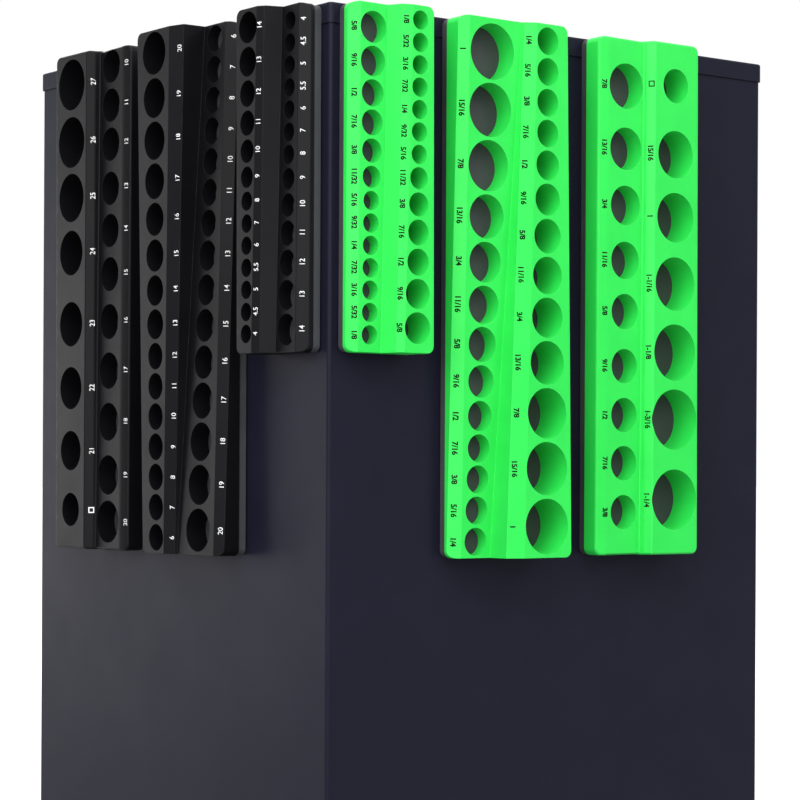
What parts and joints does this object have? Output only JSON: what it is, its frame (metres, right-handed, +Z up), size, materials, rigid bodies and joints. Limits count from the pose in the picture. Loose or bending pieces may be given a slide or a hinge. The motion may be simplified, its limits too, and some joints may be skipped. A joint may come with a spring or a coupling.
{
  "type": "drawer cabinet with socket trays",
  "caption": "Steel drawer cabinet with a folded lid and lockable drawers, carrying magnetic two-step socket trays on its back and side panels.",
  "frame": {"origin": "centre of the cabinet's floor face, where it stands", "axes": "+Z up; the drawers open towards -Y; the inch trays hang on the +Y panel and the metric trays on the +X panel"},
  "size_m": [0.4246, 0.4213, 0.64],
  "materials": {
    "cabinet_paint": "satin powder coat",
    "zinc_steel": "zinc plated",
    "pull_metal": "satin anodised",
    "liner_rubber": "ribbed matt",
    "lock_metal": "bright",
    "green_plastic": "fine matt",
    "black_plastic": "fine matt",
    "base_plastic": "matt",
    "magnet": "ground ferrite"
  },
  "bodies": {
    "cabinet": {"shell_wrap": "cabinet_paint", "top_lid": "cabinet_paint", "base_pan": "cabinet_paint", "top_rail": "cabinet_paint", "foot_rail": "cabinet_paint", "slide_uprights": "zinc_steel", "slide_fixed": "zinc_steel", "lock_housing": "lock_metal"},
    "drawer_1": {"drawer_box_1": "cabinet_paint", "drawer_front_1": "cabinet_paint", "drawer_pull_1": "pull_metal", "drawer_liner_1": "liner_rubber", "slide_inner_1": "zinc_steel", "lock_catch": "zinc_steel"},
    "slide_middle_1": {"slide_middle_1": "zinc_steel"},
    "drawer_2": {"drawer_box_2": "cabinet_paint", "drawer_front_2": "cabinet_paint", "drawer_pull_2": "pull_metal", "drawer_liner_2": "liner_rubber", "slide_inner_2": "zinc_steel"},
    "slide_middle_2": {"slide_middle_2": "zinc_steel"},
    "drawer_3": {"drawer_box_3": "cabinet_paint", "drawer_front_3": "cabinet_paint", "drawer_pull_3": "pull_metal", "drawer_liner_3": "liner_rubber", "slide_inner_3": "zinc_steel"},
    "slide_middle_3": {"slide_middle_3": "zinc_steel"},
    "drawer_4": {"drawer_box_4": "cabinet_paint", "drawer_front_4": "cabinet_paint", "drawer_pull_4": "pull_metal", "drawer_liner_4": "liner_rubber", "slide_inner_4": "zinc_steel"},
    "slide_middle_4": {"slide_middle_4": "zinc_steel"},
    "lock": {"lock_plug": "lock_metal", "lock_cam": "zinc_steel"},
    "inch_tray_quarter": {"inch_tray_quarter": "green_plastic", "inch_base_quarter": "base_plastic", "inch_magnets_quarter": "magnet"},
    "inch_tray_three_eighth": {"inch_tray_three_eighth": "green_plastic", "inch_base_three_eighth": "base_plastic", "inch_magnets_three_eighth": "magnet"},
    "inch_tray_half": {"inch_tray_half": "green_plastic", "inch_base_half": "base_plastic", "inch_magnets_half": "magnet"},
    "metric_tray_quarter": {"metric_tray_quarter": "black_plastic", "metric_base_quarter": "base_plastic", "metric_magnets_quarter": "magnet"},
    "metric_tray_three_eighth": {"metric_tray_three_eighth": "black_plastic", "metric_base_three_eighth": "base_plastic", "metric_magnets_three_eighth": "magnet"},
    "metric_tray_half": {"metric_tray_half": "black_plastic", "metric_base_half": "base_plastic", "metric_magnets_half": "magnet"}
  },
  "joints": [
    {"name": "drawer_1_slide", "type": "slide", "parent": "cabinet", "child": "drawer_1", "axis": [0, -1, 0], "range_m": [0, 0.3]},
    {"name": "slide_middle_1_slide", "type": "slide", "parent": "cabinet", "child": "slide_middle_1", "axis": [0, -1, 0], "range_m": [0, 0.15]},
    {"name": "drawer_2_slide", "type": "slide", "parent": "cabinet", "child": "drawer_2", "axis": [0, -1, 0], "range_m": [0, 0.3]},
    {"name": "slide_middle_2_slide", "type": "slide", "parent": "cabinet", "child": "slide_middle_2", "axis": [0, -1, 0], "range_m": [0, 0.15]},
    {"name": "drawer_3_slide", "type": "slide", "parent": "cabinet", "child": "drawer_3", "axis": [0, -1, 0], "range_m": [0, 0.3]},
    {"name": "slide_middle_3_slide", "type": "slide", "parent": "cabinet", "child": "slide_middle_3", "axis": [0, -1, 0], "range_m": [0, 0.15]},
    {"name": "drawer_4_slide", "type": "slide", "parent": "cabinet", "child": "drawer_4", "axis": [0, -1, 0], "range_m": [0, 0.3]},
    {"name": "slide_middle_4_slide", "type": "slide", "parent": "cabinet", "child": "slide_middle_4", "axis": [0, -1, 0], "range_m": [0, 0.15]},
    {"name": "lock_turn", "type": "hinge", "parent": "cabinet", "child": "lock", "pos_m": [0.134, -0.185, 0.6138], "axis": [0, -1, 0], "range_deg": [0, 90]},
    {"name": "inch_tray_quarter_pull_off", "type": "slide", "parent": "cabinet", "child": "inch_tray_quarter", "axis": [0, 1, 0], "range_m": [0, 0.15]},
    {"name": "inch_tray_three_eighth_pull_off", "type": "slide", "parent": "cabinet", "child": "inch_tray_three_eighth", "axis": [0, 1, 0], "range_m": [0, 0.15]},
    {"name": "inch_tray_half_pull_off", "type": "slide", "parent": "cabinet", "child": "inch_tray_half", "axis": [0, 1, 0], "range_m": [0, 0.15]},
    {"name": "metric_tray_quarter_pull_off", "type": "slide", "parent": "cabinet", "child": "metric_tray_quarter", "axis": [1, 0, 0], "range_m": [0, 0.15]},
    {"name": "metric_tray_three_eighth_pull_off", "type": "slide", "parent": "cabinet", "child": "metric_tray_three_eighth", "axis": [1, 0, 0], "range_m": [0, 0.15]},
    {"name": "metric_tray_half_pull_off", "type": "slide", "parent": "cabinet", "child": "metric_tray_half", "axis": [1, 0, 0], "range_m": [0, 0.15]}
  ],
  "couplings": [
    {"joint": "slide_middle_1_slide", "follows": "drawer_1_slide", "ratio": 0.5},
    {"joint": "slide_middle_2_slide", "follows": "drawer_2_slide", "ratio": 0.5},
    {"joint": "slide_middle_3_slide", "follows": "drawer_3_slide", "ratio": 0.5},
    {"joint": "slide_middle_4_slide", "follows": "drawer_4_slide", "ratio": 0.5}
  ]
}
